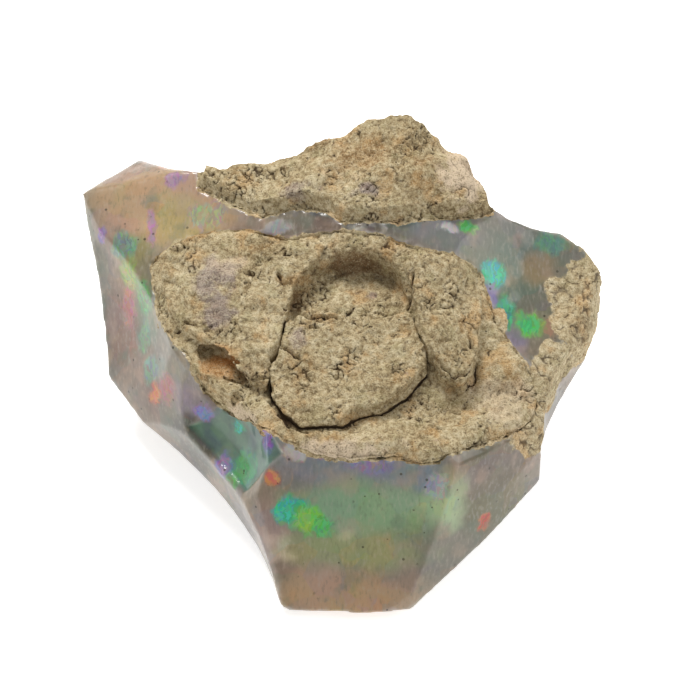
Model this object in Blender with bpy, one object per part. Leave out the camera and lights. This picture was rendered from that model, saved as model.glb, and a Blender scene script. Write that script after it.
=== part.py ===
"""A rough opal specimen: a broken block of translucent opal with its sandy host rock still on it.

The opal is one block of glassy stone bounded by hollow, shell-shaped fracture faces.  Host rock fills a
shallow basin on its upper face, and in the middle of that rock a plug has cracked free.  A second patch
of host rock caps the ridge at the back.  Lengths are in millimetres here and in metres in the model.
+Z is up, -Y is the front, towards which the upper face leans, and the origin is the middle of the flat
that the stone rests on.
"""

import math

import bmesh
import bpy
import numpy as np
from mathutils import Matrix, Vector, noise
from mathutils.bvhtree import BVHTree

MM = 0.001
SEAM = 0.3  # open gap between touching pieces
GRID_STEP = 0.7  # spacing of the points on a rock's rough top; twice this underneath
FLAKE_STEP = 2.1  # spacing of the points on a fracture face
NEIGHBOURS = ((0, 0), (1, 0), (-1, 0), (0, 1), (0, -1), (1, 1), (-1, -1), (1, -1), (-1, 1))

OPAL_COLOUR = (0.33, 0.30, 0.28)
ROCK_COLOUR = (0.42, 0.34, 0.23)
PLUG_COLOUR = (0.43, 0.36, 0.25)
RIDGE_COLOUR = (0.44, 0.35, 0.24)

# ------------------------------------------------------------------ the opal
BLOCK_CORNERS = {
    # the flat it rests on
    "rest_back_left": (-14, 13, 0),
    "rest_left": (-15.5, 3, 0),
    "rest_front_left": (-5, -16, 0),
    "rest_front_right": (4.5, -16, 0),
    "rest_right": (13, -5, 0),
    "rest_back_right": (13, 9, 0),
    "rest_back": (0, 15, 0),
    # the lower edge
    "foot_left": (-5.2, -21.0, 1.2),
    "foot_middle": (-0.8, -21.6, 1.2),
    "foot_right": (4.9, -20.8, 1.2),
    "right_thigh": (10.9, -15.5, 3.2),
    "right_knee": (15.7, -10.6, 5),
    "left_knee": (-16.8, -2.4, 4.3),
    "left_heel": (-20.9, 0.9, 4.7),
    # the back, below the ridge
    "back_left": (-18.5, 15.5, 6),
    "back_middle": (-4, 18, 8),
    "back_right": (13, 13, 8),
    "right_hip": (18.5, 7, 6),
    # the upper edge
    "left_tip": (-23.0, 12.0, 16.3),
    "left_corner": (-17.7, 17.0, 16),
    "left_ridge": (-18.5, 2.5, 14.5),
    "left_shoulder": (-13.2, -5.5, 13.5),
    "waist_left": (-8.9, -10.3, 12.8),
    "chest_left": (-5.7, -11.8, 13),
    "chest_right": (6.8, -15.4, 12.5),
    "right_shoulder": (15.9, -9.6, 11),
    "right_elbow": (18.9, -1.4, 8.6),
    "right_wrist": (20.9, 1.6, 10.3),
    "right_tip": (21.4, 4.6, 13.4),
    "right_corner": (19.5, 5.1, 16.9),
    "lobe_front": (20.3, -0.2, 12.6),
    "lobe_chin": (18.8, -2.9, 10.6),
    "lobe_back": (20.4, 7.6, 11.5),
    "lobe_top": (20.8, 3.6, 15.6),
    "ridge_right": (11.9, 8.4, 19.6),
    "peak_right": (4.6, 12.5, 24.1),
    "peak_left": (1.4, 13.0, 22.4),
}

# Each flake that broke off left a hollow face: its deepest point, the compass bearing that it faces
# (0 is the front, 90 the right), how far it faces up, its size, and how tightly it curves across and along.
FLAKES = {
    "left_foot_scoop": {"deepest": (-9.7, -11.4, 4), "faces": (-57, -8), "size": 22, "curve": (26, 60)},
    "left_flank": {"deepest": (-17.3, -1.9, 8.2), "faces": (-66, 25), "size": 20, "curve": (34, 26)},
    "left_side": {"deepest": (-21.4, 5, 7.5), "faces": (-92, -2), "size": 14, "curve": (50, 28)},
    "chip": {"deepest": (-8.3, -10.5, 9.3), "faces": (-60, 24), "size": 9, "curve": (9, 9)},
    "front_face": {"deepest": (-0.8, -16.2, 7.3), "faces": (-3, 34), "size": 18, "curve": (80, 70)},
    "right_front": {"deepest": (11.4, -13.9, 8), "faces": (40, 20), "size": 14, "curve": (50, 46)},
    "right_notch": {"deepest": (16.2, -6.2, 7.6), "faces": (72, 0), "size": 12, "curve": (10, 60)},
    "right_top": {"deepest": (14.6, 1.5, 16.0), "faces": (36, 63), "size": 9, "curve": (34, 30)},
    "back_left_dip": {"deepest": (-6.5, 13.1, 17.8), "faces": (195, 42), "size": 13, "curve": (19, 40)},
    "back_right_dip": {"deepest": (11.7, 7.7, 18.8), "faces": (134, 30), "size": 8, "curve": (7, 40)},
    "back_scoop": {"deepest": (-4.5, 14.9, 8), "faces": (184, 12), "size": 16, "curve": (30, 26)},
    "right_back_scoop": {"deepest": (14.6, 10.0, 9), "faces": (140, 4), "size": 14, "curve": (24, 40)},
}

# ------------------------------------------------------------------ the host rock
# Outlines in plan, as x and y.
BASIN_OUTLINE = (
    (-16.2, 4.4), (-14.7, 5.2), (-12.2, 5.8), (-9.2, 5.6), (-7.3, 4.9), (-5.0, 3.9), (-2.5, 4.1), (0.0, 3.8),
    (3.3, 3.0), (5.8, 1.9), (8.2, 1.9), (10.3, 1.5), (11.0, -0.5), (11.5, -2.0), (12.7, -3.9), (13.8, -5.3),
    (14.6, -6.4), (14.9, -7.6), (14.6, -8.8), (13.9, -9.6), (11.9, -11.0), (9.4, -12.3), (7.1, -13.5),
    (5.2, -13.5), (3.6, -13.0), (0.0, -13.0), (-2.4, -12.7), (-4.8, -11.8), (-7.1, -10.4), (-9.3, -8.4),
    (-11.2, -6.7), (-12.3, -5.3), (-13.1, -3.7), (-14.2, -2.5), (-15.6, 0.4),
)
SLAB_OUTLINE = (
    (-15.9, 4.2), (-14.6, 4.9), (-12.2, 5.5), (-9.2, 5.3), (-7.3, 4.6), (-5.0, 3.6), (-3.1, 3.7), (-2.2, 3.2),
    (-2.6, 2.2), (-4.1, 0.5), (-4.9, -0.7), (-5.5, -2.7), (-5.9, -4.4), (-6.7, -5.6), (-6.9, -7.6),
    (-8.1, -7.2), (-9.4, -5.9), (-10.5, -4.3), (-12.3, -3.4), (-13.8, -2.3), (-15.3, 0.3),
)
LUMP_OUTLINE = (
    (4.5, 1.1), (5.6, 1.6), (8.2, 1.7), (10.1, 1.3), (10.7, -0.6), (10.6, -4.1), (9.9, -6.6), (9.1, -7.7),
    (7.3, -7.2), (6.4, -5.6), (5.7, -3.6), (5.3, -1.9),
)
RECESS_OUTLINE = (
    (-4.7, 0.1), (-3.3, 1.6), (-2.1, 2.4), (0.0, 2.8), (2.1, 2.5), (3.4, 1.8), (4.2, 0.8), (4.7, -0.7),
    (4.9, -2.4), (4.4, -3.2), (2.9, -3.4), (1.6, -3.9), (0.0, -3.7), (-1.6, -3.0), (-3.7, -2.8), (-4.9, -3.2),
    (-4.9, -1.6),
)
PLUG_OUTLINE = (
    (-5.2, -2.7), (-3.7, -2.0), (-1.6, -2.2), (0.0, -2.9), (1.6, -3.1), (2.9, -2.6), (4.7, -2.3), (5.2, -4.0),
    (5.9, -5.6), (6.0, -6.6), (4.3, -8.5), (2.4, -9.7), (0.7, -9.8), (-0.8, -10.8), (-3.9, -10.9),
    (-5.3, -9.9), (-6.2, -8.3), (-6.3, -6.4), (-5.4, -4.8),
)
RIDGE_OUTLINE = (
    (-12.4, 10.6), (-9.7, 8.6), (-7.4, 7.2), (-4.2, 7.3), (-1.7, 6.4), (-0.4, 5.3), (4.1, 4.9), (7.5, 5.6),
    (10.0, 6.2), (11.6, 6.8), (11.4, 8.2), (10.3, 9.7), (8.4, 11.3), (6.6, 12.6), (4.6, 13.4), (1.2, 13.7),
    (-0.8, 12.7), (-2.8, 12.3), (-5.6, 12.6), (-9.0, 12.6), (-12.2, 12.1),
)

# Heights above (+) or below (-) the opal's own upper surface, and the rise per mm to the right and back.
SLAB_TOP = {"level": 0.65, "across": -0.07, "along": 0.04}
LUMP_TOP = {"level": 0.4, "across": 0.0, "along": 0.05}
PLUG_TOP = {"level": -0.1, "across": -0.02, "along": 0.0}
RECESS_FLOOR = {"level": -1.7, "across": -0.05, "along": -0.3}
RIDGE_TOP = {"level": 1.0, "across": 0.02, "along": 0.0}
LINING_DEPTH = 1.7
EDGE_THICKNESS = 1.0
DEEPEST_THICKNESS = 5.4
RECESS_BED = 3.9  # how deep the rock goes under the recess, and how wide its back wall is
RECESS_WALL = 1.2
LEAST_OPAL = 1.2  # opal left round the rock where the flank is undercut
RIDGE_THICKNESS = 1.3
PLUG_EDGE_THICKNESS = 1.2
PLUG_THICKNESS = 2.7
# A stained hollow runs in under the lower edge of the left slab.
HOLLOW = {"centre": (-10.3, -4.9, 13.7), "radii": (2.9, 1.2, 1.3), "turned": -38}


def clear_scene():
    for thing in list(bpy.data.objects):
        bpy.data.objects.remove(thing)


def collection_named(name):
    made = bpy.data.collections.new(name)
    bpy.context.scene.collection.children.link(made)
    return made


def add_object(name, fill, collection):
    """A new object in a collection; fill makes its mesh in a bmesh, in millimetres."""
    mesh = bpy.data.meshes.new(name)
    work = bmesh.new()
    fill(work)
    bmesh.ops.scale(work, vec=(MM, MM, MM), verts=work.verts)
    bmesh.ops.recalc_face_normals(work, faces=work.faces)
    work.to_mesh(mesh)
    work.free()
    thing = bpy.data.objects.new(name, mesh)
    collection.objects.link(thing)
    return thing


def hide(thing):
    """Marks a cutter or guide, which isn't a piece of the stone."""
    thing.hide_render = True
    thing.display_type = "WIRE"
    return thing


def hull(name, corners, collection):
    """The convex lump that has these corners."""

    def fill(work):
        points = [work.verts.new(corner) for corner in corners]
        found = bmesh.ops.convex_hull(work, input=points)
        inside = [v for v in found["geom_interior"] if isinstance(v, bmesh.types.BMVert)]
        bmesh.ops.delete(work, geom=inside, context="VERTS")

    return add_object(name, fill, collection)


def boolean(thing, other, operation):
    modifier = thing.modifiers.new(f"{operation.lower()}_{other.name}", "BOOLEAN")
    modifier.operation = operation
    modifier.object = other
    modifier.solver = "EXACT"


def outward(bearing, rise):
    """The direction that faces a compass bearing (0 front, 90 right) and is tipped up by rise, in degrees."""
    b, r = math.radians(bearing), math.radians(rise)
    return Vector((math.sin(b) * math.cos(r), -math.cos(b) * math.cos(r), math.sin(r)))


def flake(name, deepest, faces, size, curve, collection):
    """A block with one bulging side, which breaks a hollow face into the stone."""
    across, along = curve
    normal = outward(*faces)
    right = Vector((0, 0, 1)).cross(normal).normalized()
    stand = Matrix((right, normal.cross(right), normal)).transposed().to_4x4()
    stand.translation = Vector(deepest)
    cells = round(2 * size / FLAKE_STEP)

    def fill(work):
        bmesh.ops.create_grid(work, x_segments=cells, y_segments=cells, size=size)
        for v in work.verts:
            v.co.z = (v.co.x**2 / across + v.co.y**2 / along) / 2
        back = bmesh.ops.extrude_face_region(work, geom=list(work.faces))
        for v in back["geom"]:
            if isinstance(v, bmesh.types.BMVert):
                v.co.z = v.co.z + 2 * size
        bmesh.ops.transform(work, matrix=stand, verts=work.verts)
        bmesh.ops.triangulate(work, faces=work.faces)

    return hide(add_object(name, fill, collection))


def inside_distance(x, y, outline):
    """How far each point lies inside a closed outline; negative outside it."""
    ends = np.array(outline, float)
    starts = np.roll(ends, 1, axis=0)
    nearest = np.full(np.shape(x), 1e9)
    crossings = np.zeros(np.shape(x), bool)
    for (ax, ay), (bx, by) in zip(starts, ends):
        dx, dy = bx - ax, by - ay
        share = np.clip(((x - ax) * dx + (y - ay) * dy) / (dx * dx + dy * dy), 0, 1)
        nearest = np.minimum(nearest, np.hypot(x - ax - share * dx, y - ay - share * dy))
        spans = (ay > y) != (by > y)
        with np.errstate(divide="ignore", invalid="ignore"):
            crossings ^= spans & (x < ax + (y - ay) * dx / dy)
    return np.where(crossings, nearest, -nearest)


def pulled_in(x, y, outline):
    """The point itself, or for a point outside an outline the place just inside it, towards its middle."""
    middle = np.mean(np.array(outline), axis=0)
    for _ in range(60):
        if inside_distance(np.float64(x), np.float64(y), outline) > 0.15:
            break
        x, y = x + (middle[0] - x) * 0.03, y + (middle[1] - y) * 0.03
    return float(x), float(y)


def smooth(share):
    share = np.clip(share, 0, 1)
    return share * share * (3 - 2 * share)


def roughness(x, y, z, coarse, fine):
    """Lumps about 3 mm across and grit about 1 mm across, of these heights."""
    lump = noise.noise(Vector((x, y, z)) / 3.1)
    grit = noise.noise(Vector((x, y, z + 40)) / 1.1)
    return coarse * lump + fine * grit


def block_faces(block):
    """Two functions: the height of the block's upper face within an outline, and of its underside."""
    tree = BVHTree.FromObject(block, bpy.context.evaluated_depsgraph_get())

    def upper(x, y, outline):
        x, y = pulled_in(x, y, outline)
        return tree.ray_cast(Vector((x * MM, y * MM, 1)), Vector((0, 0, -1)))[0].z / MM

    def under(x, y):
        found = tree.ray_cast(Vector((x * MM, y * MM, -1)), Vector((0, 0, 1)))[0]
        return found.z / MM if found else far_above(x, y)

    return upper, under


def height_grid(work, low, high, step, level):
    """A grid of square faces that follows a height."""
    columns, rows = (int(n) for n in np.ceil((high - low) / step))
    xs, ys = np.linspace(low[0], high[0], columns + 1), np.linspace(low[1], high[1], rows + 1)
    points = [[work.verts.new((x, y, level(x, y))) for x in xs] for y in ys]
    for near, far in zip(points, points[1:]):
        for i in range(columns):
            work.faces.new((near[i], near[i + 1], far[i + 1], far[i]))


def rough_sheet(name, top, bottom, outline, collection, grow=0.0):
    """A slab with its own top and bottom heights, cut to an outline in plan that may be grown a little."""
    points = np.array(outline)
    low, high = points.min(axis=0) - 1.5, points.max(axis=0) + 1.5

    def fill(work):
        height_grid(work, low, high, GRID_STEP, top)
        height_grid(work, low, high, 2 * GRID_STEP, bottom)
        bmesh.ops.bridge_loops(work, edges=[e for e in work.edges if e.is_boundary])
        bmesh.ops.triangulate(work, faces=work.faces)

    sheet = add_object(name, fill, collection)
    boolean(sheet, cookie(f"{name}_outline", outline, collection, grow), "INTERSECT")
    return sheet


def cookie(name, outline, collection, grow):
    """An upright prism with this outline in plan, grown outwards a little."""
    curve = bpy.data.curves.new(name, "CURVE")
    curve.dimensions = "2D"
    curve.fill_mode = "BOTH"
    curve.extrude = 40 * MM
    curve.offset = grow * MM
    line = curve.splines.new("POLY")
    line.points.add(len(outline) - 1)
    for point, (x, y) in zip(line.points, outline):
        point.co = (x * MM, y * MM, 0, 1)
    line.use_cyclic_u = True
    return hide(as_mesh(bpy.data.objects.new(name, curve), collection))


def as_mesh(thing, collection):
    """A curve object made a mesh object with its caps welded on."""
    collection.objects.link(thing)
    graph = bpy.context.evaluated_depsgraph_get()
    mesh = bpy.data.meshes.new_from_object(thing.evaluated_get(graph))
    work = bmesh.new()
    work.from_mesh(mesh)
    bmesh.ops.remove_doubles(work, verts=work.verts, dist=0.00001)
    bmesh.ops.recalc_face_normals(work, faces=work.faces)
    work.to_mesh(mesh)
    work.free()
    name = thing.name
    bpy.data.objects.remove(thing)
    made = bpy.data.objects.new(name, mesh)
    collection.objects.link(made)
    return made


def gouge(name, centre, radii, turned, collection):
    """An egg-shaped cutter, turned about the upright axis."""
    place = Matrix.Translation(centre) @ Matrix.Rotation(math.radians(turned), 4, "Z")

    def fill(work):
        bmesh.ops.create_icosphere(work, subdivisions=3, radius=1)
        bmesh.ops.scale(work, vec=radii, verts=work.verts)
        bmesh.ops.transform(work, matrix=place, verts=work.verts)

    return hide(add_object(name, fill, collection))


def sloping(facts, outline):
    """A height that is level in the middle of an outline and rises across and along it."""
    middle = np.mean(np.array(outline), axis=0)

    def height(x, y):
        return facts["level"] + facts["across"] * (x - middle[0]) + facts["along"] * (y - middle[1])

    return height


def rough_top(face, facts, outline, coarse, fine):
    level = sloping(facts, outline)

    def height(x, y):
        z = face(x, y, outline)
        return z + level(x, y) + roughness(x, y, z, coarse, fine)

    return height


def far_above(x, y):
    return 40.0


def opening(name, bottom, outline, collection):
    """The cutter that makes room for a rock, with the open gap added all round and underneath."""
    return hide(
        rough_sheet(name, far_above, lambda x, y: bottom(x, y) - SEAM, outline, collection, grow=SEAM)
    )


def basin_depth(x, y, edge, width):
    """A depth that grows from the rim of the basin inwards and then stays at 1."""
    return float(smooth(inside_distance(np.float64(x), np.float64(y), edge) / width))


def finish(thing, name, colour, roughness_value, **sockets):
    """Gives a piece a material of its own."""
    made = bpy.data.materials.new(name)
    made.use_nodes = True
    shader = made.node_tree.nodes["Principled BSDF"]
    shader.inputs["Base Color"].default_value = (*colour, 1)
    shader.inputs["Roughness"].default_value = roughness_value
    shader.inputs["Metallic"].default_value = 0
    for socket, value in sockets.items():
        shader.inputs[socket.replace("_", " ")].default_value = value
    made.diffuse_color = (*colour, 1)
    thing.data.materials.append(made)


def make_basin_rock(face, under, socket, pieces, cutters):
    def lining(x, y):
        z = face(x, y, BASIN_OUTLINE)
        return z - LINING_DEPTH * basin_depth(x, y, BASIN_OUTLINE, 4) + roughness(x, y, z, 0.5, 0.35)

    def bed(x, y):
        inwards = basin_depth(x, y, BASIN_OUTLINE, 4)
        behind = smooth(inside_distance(np.float64(x), np.float64(y), RECESS_OUTLINE) / RECESS_WALL + 1)
        deep = EDGE_THICKNESS + (DEEPEST_THICKNESS - EDGE_THICKNESS) * inwards
        shallow = EDGE_THICKNESS + LINING_DEPTH * inwards
        level = min(face(x + i * GRID_STEP, y + j * GRID_STEP, BASIN_OUTLINE) for i, j in NEIGHBOURS)
        flank = max(under(x + i * LEAST_OPAL, y + j * LEAST_OPAL) for i, j in NEIGHBOURS)
        room = level - flank - LEAST_OPAL
        return level - max(min(max(deep, RECESS_BED * float(behind)), room), shallow)

    def halfway(x, y):
        return (lining(x, y) + bed(x, y)) / 2

    rock = rough_sheet("basin_rock", lining, bed, BASIN_OUTLINE, pieces)
    boolean(rock, socket, "DIFFERENCE")
    for name, facts, outline in (("slab", SLAB_TOP, SLAB_OUTLINE), ("lump", LUMP_TOP, LUMP_OUTLINE)):
        top = rough_top(face, facts, outline, 0.55, 0.4)
        boolean(rock, hide(rough_sheet(name, top, halfway, outline, cutters)), "UNION")
    floor = rough_top(face, RECESS_FLOOR, RECESS_OUTLINE, 0.5, 0.3)
    boolean(rock, hide(rough_sheet("recess", far_above, floor, RECESS_OUTLINE, cutters)), "DIFFERENCE")
    boolean(rock, gouge("hollow", collection=cutters, **HOLLOW), "DIFFERENCE")
    return opening("pocket", bed, BASIN_OUTLINE, cutters)


def make_plug(face, pieces, cutters):
    top = rough_top(face, PLUG_TOP, PLUG_OUTLINE, 0.5, 0.35)
    under = sloping(PLUG_TOP, PLUG_OUTLINE)

    def bottom(x, y):
        deep = (PLUG_THICKNESS - PLUG_EDGE_THICKNESS) * basin_depth(x, y, BASIN_OUTLINE, 4)
        return face(x, y, PLUG_OUTLINE) + under(x, y) - PLUG_EDGE_THICKNESS - deep

    rough_sheet("loose_plug", top, bottom, PLUG_OUTLINE, pieces)
    return opening("socket", bottom, PLUG_OUTLINE, cutters)


def make_ridge_rock(face, pieces, cutters):
    top = rough_top(face, RIDGE_TOP, RIDGE_OUTLINE, 1.0, 0.4)

    def bottom(x, y):
        return face(x, y, RIDGE_OUTLINE) - RIDGE_THICKNESS

    rough_sheet("ridge_rock", top, bottom, RIDGE_OUTLINE, pieces)
    return opening("seat", bottom, RIDGE_OUTLINE, cutters)


def main():
    clear_scene()
    stone = collection_named("rough_opal_specimen")
    cutters = collection_named("cutters")
    block = hull("opal", BLOCK_CORNERS.values(), stone)
    for name, facts in FLAKES.items():
        boolean(block, flake(name, collection=cutters, **facts), "DIFFERENCE")
    face, under = block_faces(block)
    socket = make_plug(face, stone, cutters)
    boolean(block, make_basin_rock(face, under, socket, stone, cutters), "DIFFERENCE")
    boolean(block, make_ridge_rock(face, stone, cutters), "DIFFERENCE")
    finish(block, "opal", OPAL_COLOUR, 0.12, IOR=1.45, Transmission_Weight=0.35)
    finish(bpy.data.objects["basin_rock"], "basin_rock", ROCK_COLOUR, 0.95)
    finish(bpy.data.objects["loose_plug"], "loose_plug", PLUG_COLOUR, 0.95)
    finish(bpy.data.objects["ridge_rock"], "ridge_rock", RIDGE_COLOUR, 0.95)


main()
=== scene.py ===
# %% [markdown]
# # A rough opal specimen and its finish
# The specimen is a broken block of translucent opal.  Sandy host rock fills a basin on its upper face, a
# plug of that rock has cracked loose in the middle, and more rock caps the ridge at the back.  The solids
# are already made and packed.  This script gives them the finished look: real grain, pits and cracks on
# the rock, rippled glassy faces on the opal, and the flashes of colour inside it.

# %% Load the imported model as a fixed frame
import math

import bpy
import numpy as np
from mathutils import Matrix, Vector, noise
from mathutils.bvhtree import BVHTree
from mathutils.kdtree import KDTree


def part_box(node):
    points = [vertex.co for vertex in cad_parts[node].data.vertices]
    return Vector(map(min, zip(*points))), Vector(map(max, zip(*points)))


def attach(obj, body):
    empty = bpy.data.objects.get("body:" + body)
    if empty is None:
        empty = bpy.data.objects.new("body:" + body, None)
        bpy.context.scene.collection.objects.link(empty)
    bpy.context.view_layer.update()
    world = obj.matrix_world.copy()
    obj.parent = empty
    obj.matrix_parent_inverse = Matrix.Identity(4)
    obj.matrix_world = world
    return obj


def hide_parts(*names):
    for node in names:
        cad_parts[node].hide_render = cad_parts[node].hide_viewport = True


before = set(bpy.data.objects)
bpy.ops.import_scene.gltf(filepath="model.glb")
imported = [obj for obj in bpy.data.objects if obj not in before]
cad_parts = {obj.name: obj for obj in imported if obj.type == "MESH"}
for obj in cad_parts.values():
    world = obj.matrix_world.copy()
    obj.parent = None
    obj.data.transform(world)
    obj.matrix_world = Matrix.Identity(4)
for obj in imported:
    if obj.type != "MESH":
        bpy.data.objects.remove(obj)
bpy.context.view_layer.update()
MM = 0.001  # the script thinks in millimetres, and Blender's unit is the metre
for node_name, node in sorted(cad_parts.items()):
    low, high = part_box(node_name)
    size = ", ".join(f"{(b - a) / MM:.1f}" for a, b in zip(low, high))
    print(f"{node_name}: {len(node.data.polygons)} faces, {size} mm")

# %% [markdown]
# ## The camera
# A stone this small is looked at from close by and from above, so that its basin shows.  A camera could be
# placed by its own coordinates.  Here it is placed by what it looks at, how steeply it looks down and how
# far away it is, because those three are easy to change one at a time.  The long lens keeps the near faces
# from looking swollen.

# %% Place the camera
LOOK_AT = Vector((0, 0.5, 9)) * MM
LOOK_DOWN = math.radians(50)
DISTANCE = 198.6 * MM
LENS = 120

towards_camera = Vector((0, -math.cos(LOOK_DOWN), math.sin(LOOK_DOWN)))
lens = bpy.data.cameras.new("long_lens")
lens.lens = LENS
lens.clip_start = 10 * MM
camera = bpy.data.objects.new("camera_above", lens)
camera.location = LOOK_AT + towards_camera * DISTANCE
camera.rotation_euler = towards_camera.to_track_quat("Z", "Y").to_euler()
bpy.context.scene.collection.objects.link(camera)
bpy.context.scene.camera = camera
print(f"camera {DISTANCE / MM:.0f} mm from the stone, {math.degrees(LOOK_DOWN):.0f} degrees above it")

# %% [markdown]
# ## The table
# The stone lies on a sheet of white card.  The card could be lit until it is white, but then the stone would
# be burnt out too.  So the card gives off a little light of its own, which also fills the stone's shadow.
# It lies a hair below the stone, because two surfaces at the same height flicker.

# %% Lay the white table
TABLE_SIZE = 3000 * MM
TABLE_GAP = 0.02 * MM
CARD_GLOW = 0.6

bpy.ops.mesh.primitive_plane_add(size=TABLE_SIZE, location=(0, 0, -TABLE_GAP))
table = bpy.context.object
table.name = "white_table"
card = bpy.data.materials.new("white_card")
card.use_nodes = True
card_shader = card.node_tree.nodes["Principled BSDF"]
card_shader.inputs["Base Color"].default_value = (0.94, 0.94, 0.935, 1)
card_shader.inputs["Roughness"].default_value = 0.9
card_shader.inputs["Emission Color"].default_value = (1, 1, 1, 1)
card_shader.inputs["Emission Strength"].default_value = CARD_GLOW
table.data.materials.append(card)
print("table", TABLE_SIZE, "m across")

# %% [markdown]
# ## The light
# Glassy faces show whatever they reflect, so small bright lamps would leave spots on them.  A white world
# acts as a tent of soft light instead.  One large lamp above and behind the stone models the rock, because
# light that skims from behind drops the front of every ledge into shade.  A weak one on the right lifts
# that side.

# %% Hang the lamps
TENT_STRENGTH = 0.5


def softbox(name, place_mm, width_mm, watts, tint):
    """A square lamp that faces the middle of the stone."""
    light = bpy.data.lights.new(name, "AREA")
    light.shape = "SQUARE"
    light.size = width_mm * MM
    light.energy = watts
    light.color = tint
    lamp = bpy.data.objects.new(name, light)
    lamp.location = Vector(place_mm) * MM
    lamp.rotation_euler = (lamp.location - LOOK_AT).to_track_quat("Z", "Y").to_euler()
    bpy.context.scene.collection.objects.link(lamp)


softbox("lamp_behind", (-120, 240, 430), 170, 2.1, (1.0, 0.98, 0.95))
softbox("lamp_right", (330, -60, 300), 200, 0.4, (0.97, 0.98, 1.0))
world = bpy.data.worlds.new("light_tent")
world.use_nodes = True
world.node_tree.nodes["Background"].inputs["Color"].default_value = (1, 1, 1, 1)
world.node_tree.nodes["Background"].inputs["Strength"].default_value = TENT_STRENGTH
bpy.context.scene.world = world
bpy.context.scene.view_settings.view_transform = "Standard"

# %% [markdown]
# ## An even skin to sculpt
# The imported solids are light: their faces are long triangles of very different sizes.  Fine grain needs
# small faces of one size.  Subdividing would keep the uneven pattern, so each solid is copied and wrapped
# in a voxel remesh, which is what a sculptor does before detailing.  A few rounds of smoothing take the
# edges off the old triangles.

# %% Copy a solid as an even, dense skin
def freeze(piece):
    """Turns a piece's modifiers into plain mesh."""
    graph = bpy.context.evaluated_depsgraph_get()
    mesh = bpy.data.meshes.new_from_object(piece.evaluated_get(graph))
    piece.modifiers.clear()
    old = piece.data
    piece.data = mesh
    bpy.data.meshes.remove(old)


def dense_copy(node_name, piece_name, cell_mm, smoothing):
    """A copy of a solid with points this far apart, smoothed this many times."""
    piece = bpy.data.objects.new(piece_name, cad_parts[node_name].data.copy())
    piece.data.materials.clear()
    bpy.context.scene.collection.objects.link(piece)
    wrap = piece.modifiers.new("even_skin", "REMESH")
    wrap.mode = "VOXEL"
    wrap.voxel_size = cell_mm * MM
    wrap.use_smooth_shade = True
    soften = piece.modifiers.new("soften", "SMOOTH")
    soften.iterations = smoothing
    freeze(piece)
    piece.data.name = piece_name
    print(f"{piece_name}: {len(piece.data.vertices)} points, {cell_mm} mm apart")
    return piece


basin = dense_copy("basin_rock", "basin_rock_grown", 0.12, 6)
plug = dense_copy("loose_plug", "loose_plug_grown", 0.1, 5)
ridge = dense_copy("ridge_rock", "ridge_rock_grown", 0.12, 6)
stone = dense_copy("opal", "opal_stone", 0.225, 3)

# %% [markdown]
# ## Points as rows of numbers
# Sculpting by hand isn't repeatable, and a modifier can't tell a crack from a ledge.  So the points of a
# skin are read into one array, moved by arithmetic and written back.  A number can also be left on every
# point, and a material can read it later by its name.

# %% Read and write a skin's points
def points_of(piece):
    """All the points of a piece, in millimetres, one row each."""
    flat = np.empty(len(piece.data.vertices) * 3, np.float32)
    piece.data.vertices.foreach_get("co", flat)
    return flat.reshape(-1, 3).astype(float) / MM


def normals_of(piece):
    """The direction that each point of a piece faces."""
    flat = np.empty(len(piece.data.vertices) * 3, np.float32)
    piece.data.vertex_normals.foreach_get("vector", flat)
    return flat.reshape(-1, 3).astype(float)


def move_points(piece, points):
    piece.data.vertices.foreach_set("co", (points * MM).astype(np.float32).ravel())
    piece.data.update()


def keep_on_points(piece, name, values):
    """Stores a number on every point, which a material can read by this name."""
    layer = piece.data.attributes.new(name, "FLOAT", "POINT")
    layer.data.foreach_set("value", np.asarray(values, np.float32))


print("basin rock spans", np.ptp(points_of(basin), axis=0).round(1), "mm")

# %% [markdown]
# ## Distances and soft thresholds
# Most of what follows fades an effect out with the distance from something.  A hard limit would leave a
# step in the stone.  A ramp that starts and ends gently doesn't show.

# %% Measure to a surface, and fade
def surface_tree(node_name):
    """A search tree over a solid's faces."""
    return BVHTree.FromObject(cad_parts[node_name], bpy.context.evaluated_depsgraph_get())


def nearest_on(tree, points):
    """For each point, the nearest place on a surface and how far off it is, in millimetres."""
    places = np.empty((len(points), 3))
    gaps = np.empty(len(points))
    for i, p in enumerate(points):
        place, _, _, gap = tree.find_nearest(Vector(p) * MM)
        places[i] = place
        gaps[i] = gap
    return places / MM, gaps / MM


def ease(values, low, high):
    """0 below low, 1 above high, and a smooth ramp between."""
    share = np.clip((values - low) / (high - low), 0, 1)
    return share * share * (3 - 2 * share)


opal_tree = surface_tree("opal")
print("from the basin rock to the opal:", nearest_on(opal_tree, points_of(basin)[:1])[1].round(2), "mm")

# %% [markdown]
# ## Faces where they show
# Much of each skin is never seen: the underside of the rock and the socket under it.  Deleting those faces
# would leave the pieces open, so they are merged into fewer, larger ones.  A vertex group tells the
# Decimate modifier which side it may thin.

# %% Thin the hidden sides
KEPT_WHEN_HIDDEN = 0.4  # share of the faces kept on a side that another piece covers


def thin_hidden_side(piece, hidden):
    """Merges faces on the side of a piece that another piece covers."""
    group = piece.vertex_groups.new(name="hidden")
    group.add([int(i) for i in np.flatnonzero(hidden)], 1.0, "REPLACE")
    thinner = piece.modifiers.new("thin_hidden_side", "DECIMATE")
    thinner.vertex_group = group.name
    thinner.ratio = 1 - float(hidden.mean()) * (1 - KEPT_WHEN_HIDDEN)
    freeze(piece)
    piece.vertex_groups.clear()
    triangles = sum(len(face.vertices) - 2 for face in piece.data.polygons)
    print(f"{piece.name}: {triangles} triangles after thinning its hidden side")


print(f"a hidden side keeps {100 * KEPT_WHEN_HIDDEN:.0f}% of its faces")

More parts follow.
